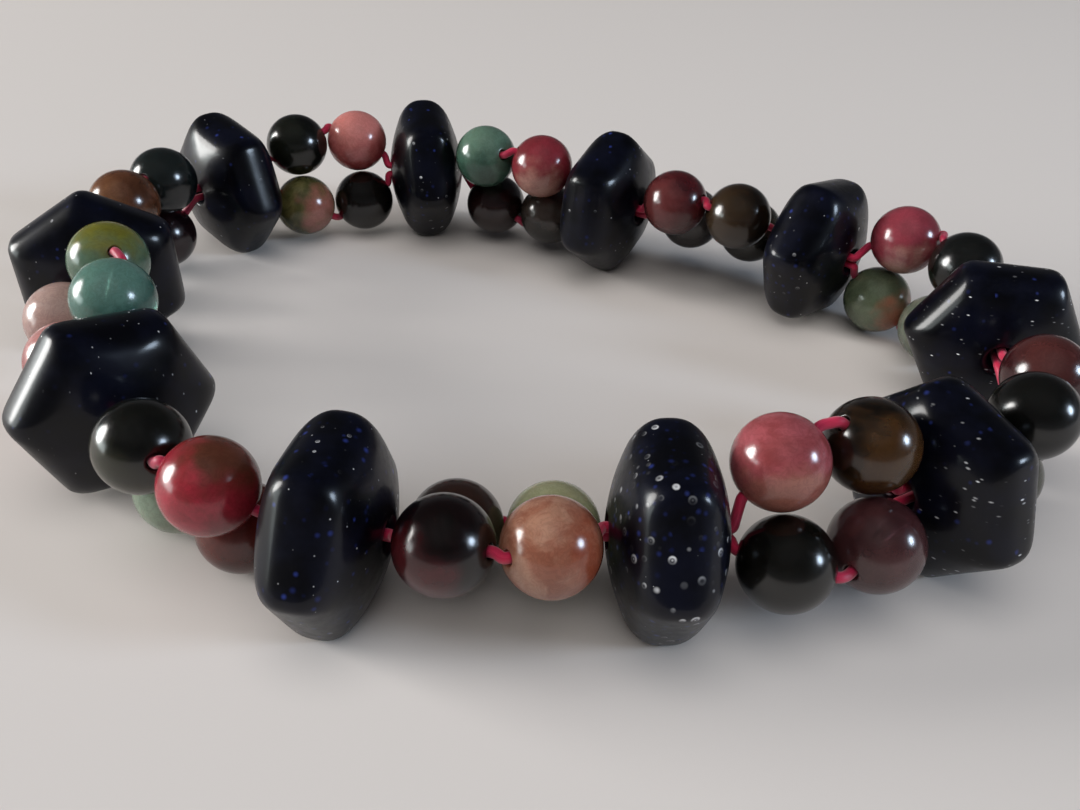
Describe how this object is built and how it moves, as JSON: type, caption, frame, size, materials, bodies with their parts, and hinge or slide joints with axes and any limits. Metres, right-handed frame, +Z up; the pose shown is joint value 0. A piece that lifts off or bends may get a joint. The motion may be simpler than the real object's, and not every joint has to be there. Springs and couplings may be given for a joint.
{
  "type": "beaded stretch bracelet",
  "caption": "Stretch bracelet lying as a closed loop: faceted hexagonal dark glass tablets alternate with clusters of round stone beads on a double elastic thread.",
  "frame": {"origin": "centre of the loop's bounding box, on the surface the bracelet lies on", "axes": "+Z up from the surface, +X to the right of a viewer in front of the bracelet, +Y away from that viewer"},
  "size_m": [0.0868, 0.0699, 0.0141],
  "materials": {
    "goldstone": "polished, near-black navy glass full of fine silver-white and deep blue flecks",
    "stone_black": "polished translucent stone, softly banded",
    "stone_charcoal": "polished translucent stone, softly banded",
    "stone_brown": "polished translucent stone, softly banded",
    "stone_olive": "polished translucent stone, softly banded",
    "stone_garnet": "polished translucent stone, softly banded",
    "stone_crimson": "polished translucent stone, softly banded",
    "stone_plum": "polished translucent stone, softly banded",
    "stone_rose": "polished translucent stone, softly banded",
    "stone_blush": "polished translucent stone, softly banded",
    "stone_coral": "polished translucent stone, softly banded",
    "stone_jade": "polished translucent stone, softly banded",
    "stone_teal": "polished translucent stone, softly banded",
    "stone_sage": "polished translucent stone, softly banded",
    "stone_lime": "polished translucent stone, softly banded",
    "elastic": "satin stretched elastic thread"
  },
  "bodies": {
    "root": {"tablet_1": "goldstone", "tablet_2": "goldstone", "tablet_3": "goldstone", "tablet_4": "goldstone", "tablet_5": "goldstone", "tablet_6": "goldstone", "tablet_7": "goldstone", "tablet_8": "goldstone", "tablet_9": "goldstone", "tablet_10": "goldstone", "bead_1_a1": "stone_garnet", "bead_1_a2": "stone_coral", "bead_1_b1": "stone_brown", "bead_1_b2": "stone_sage", "bead_2_a1": "stone_rose", "bead_2_a2": "stone_brown", "bead_2_b1": "stone_black", "bead_2_b2": "stone_plum", "bead_3_a1": "stone_black", "bead_3_a2": "stone_garnet", "bead_3_b1": "stone_olive", "bead_3_b2": "stone_garnet", "bead_4_a1": "stone_black", "bead_4_a2": "stone_rose", "bead_4_b1": "stone_sage", "bead_4_b2": "stone_jade", "bead_5_a1": "stone_olive", "bead_5_a2": "stone_garnet", "bead_5_b1": "stone_black", "bead_5_b2": "stone_charcoal", "bead_6_a1": "stone_rose", "bead_6_a2": "stone_jade", "bead_6_b1": "stone_black", "bead_6_b2": "stone_garnet", "bead_7_a1": "stone_rose", "bead_7_a2": "stone_black", "bead_7_b1": "stone_black", "bead_7_b2": "stone_sage", "bead_8_a1": "stone_charcoal", "bead_8_a2": "stone_brown", "bead_8_b1": "stone_garnet", "bead_8_b2": "stone_jade", "bead_9_a1": "stone_lime", "bead_9_a2": "stone_teal", "bead_9_b1": "stone_blush", "bead_9_b2": "stone_rose", "bead_10_a1": "stone_olive", "bead_10_a2": "stone_crimson", "bead_10_b1": "stone_jade", "bead_10_b2": "stone_garnet", "thread_a": "elastic", "thread_b": "elastic"}
  },
  "joints": []
}
